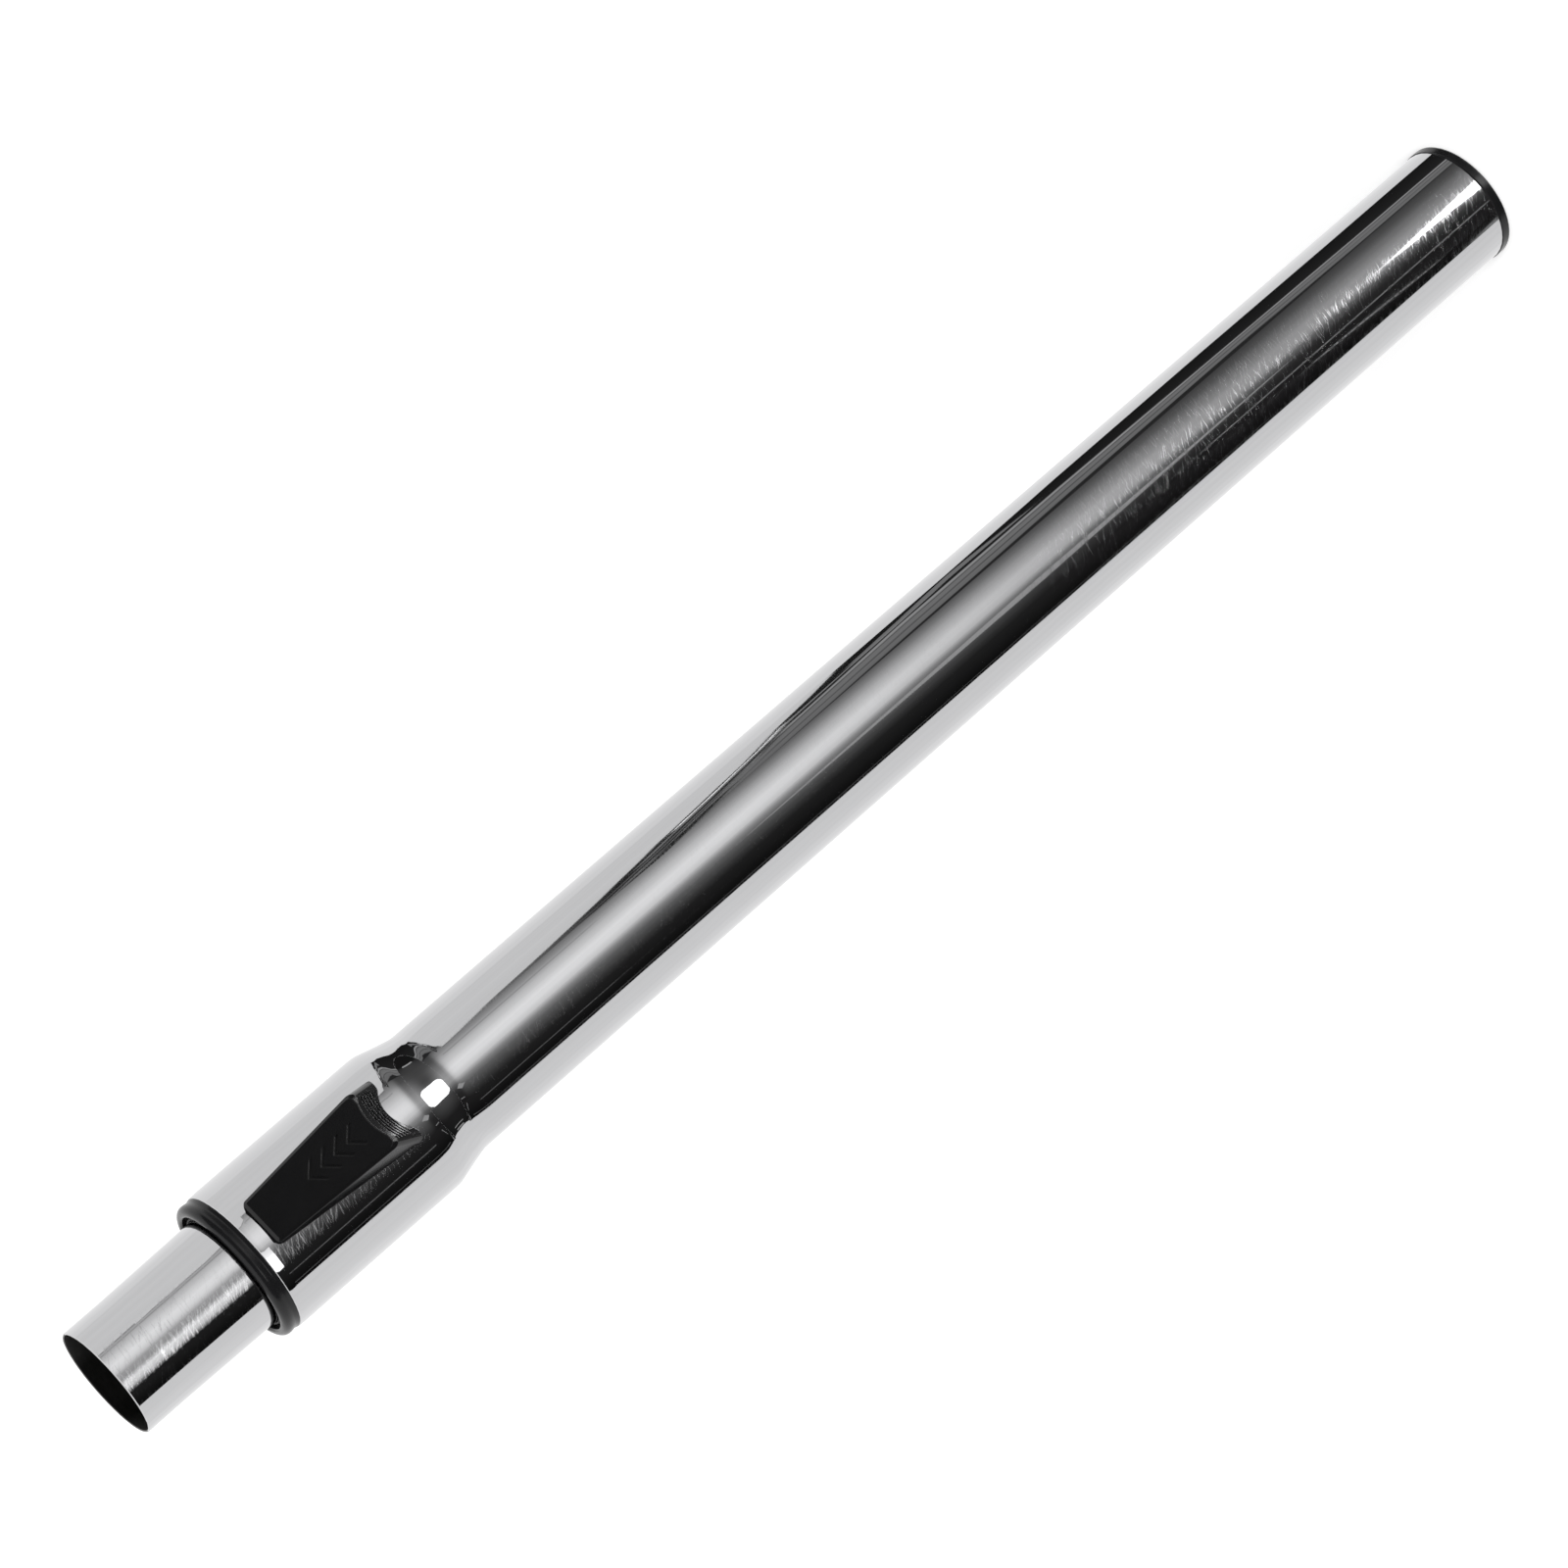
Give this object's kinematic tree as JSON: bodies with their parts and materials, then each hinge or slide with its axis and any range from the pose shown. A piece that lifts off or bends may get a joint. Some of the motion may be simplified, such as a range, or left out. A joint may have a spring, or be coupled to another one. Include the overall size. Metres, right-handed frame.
{
  "type": "vacuum extension tube",
  "caption": "Telescopic vacuum extension tube: chromed outer tube with a flared bell, sliding inner tube, sprung release button, front ring and hose end collar.",
  "frame": {"origin": "on the tube's axis, at the outer face of the end collar that takes the hose, on which the tube stands", "axes": "+Z along the tube's axis from the hose end to the mouth, -Y towards the release button, +X to the button's right"},
  "size_m": [0.0414, 0.0485, 0.4992],
  "materials": {
    "chromed_steel": "polished chrome on steel tube with fine hairlines",
    "black_plastic": "black moulded plastic, satin",
    "button_plastic": "black moulded plastic, fine matte texture",
    "guide_plastic": "natural grey acetal",
    "plain_steel": "bright steel",
    "seal_rubber": "black soft rubber"
  },
  "bodies": {
    "outer": {"outer_tube": "chromed_steel", "end_collar": "black_plastic", "guide_sleeve": "guide_plastic", "front_ring": "black_plastic", "wiper_ring": "seal_rubber", "return_spring": "plain_steel"},
    "inner": {"inner_tube": "chromed_steel", "tail_guide": "guide_plastic", "tail_seal": "seal_rubber"},
    "button": {"slide_button": "button_plastic", "lock_slide": "guide_plastic"},
    "roller": {"lock_roller": "plain_steel"}
  },
  "joints": [
    {"name": "telescope_slide", "type": "slide", "parent": "outer", "child": "inner", "axis": [0, 0, 1], "range_m": [0, 0.33]},
    {"name": "button_slide", "type": "slide", "parent": "outer", "child": "button", "axis": [0, 0, 1], "range_m": [0, 0.004], "stiffness_N_per_m": 1500, "springref_m": -0.004, "deforming": ["return_spring"]},
    {"name": "roller_lift", "type": "slide", "parent": "outer", "child": "roller", "axis": [0, -1, 0], "range_m": [0, 0.00185]}
  ],
  "couplings": [
    {"joint": "roller_lift", "follows": "button_slide", "ratio": 0.45}
  ]
}
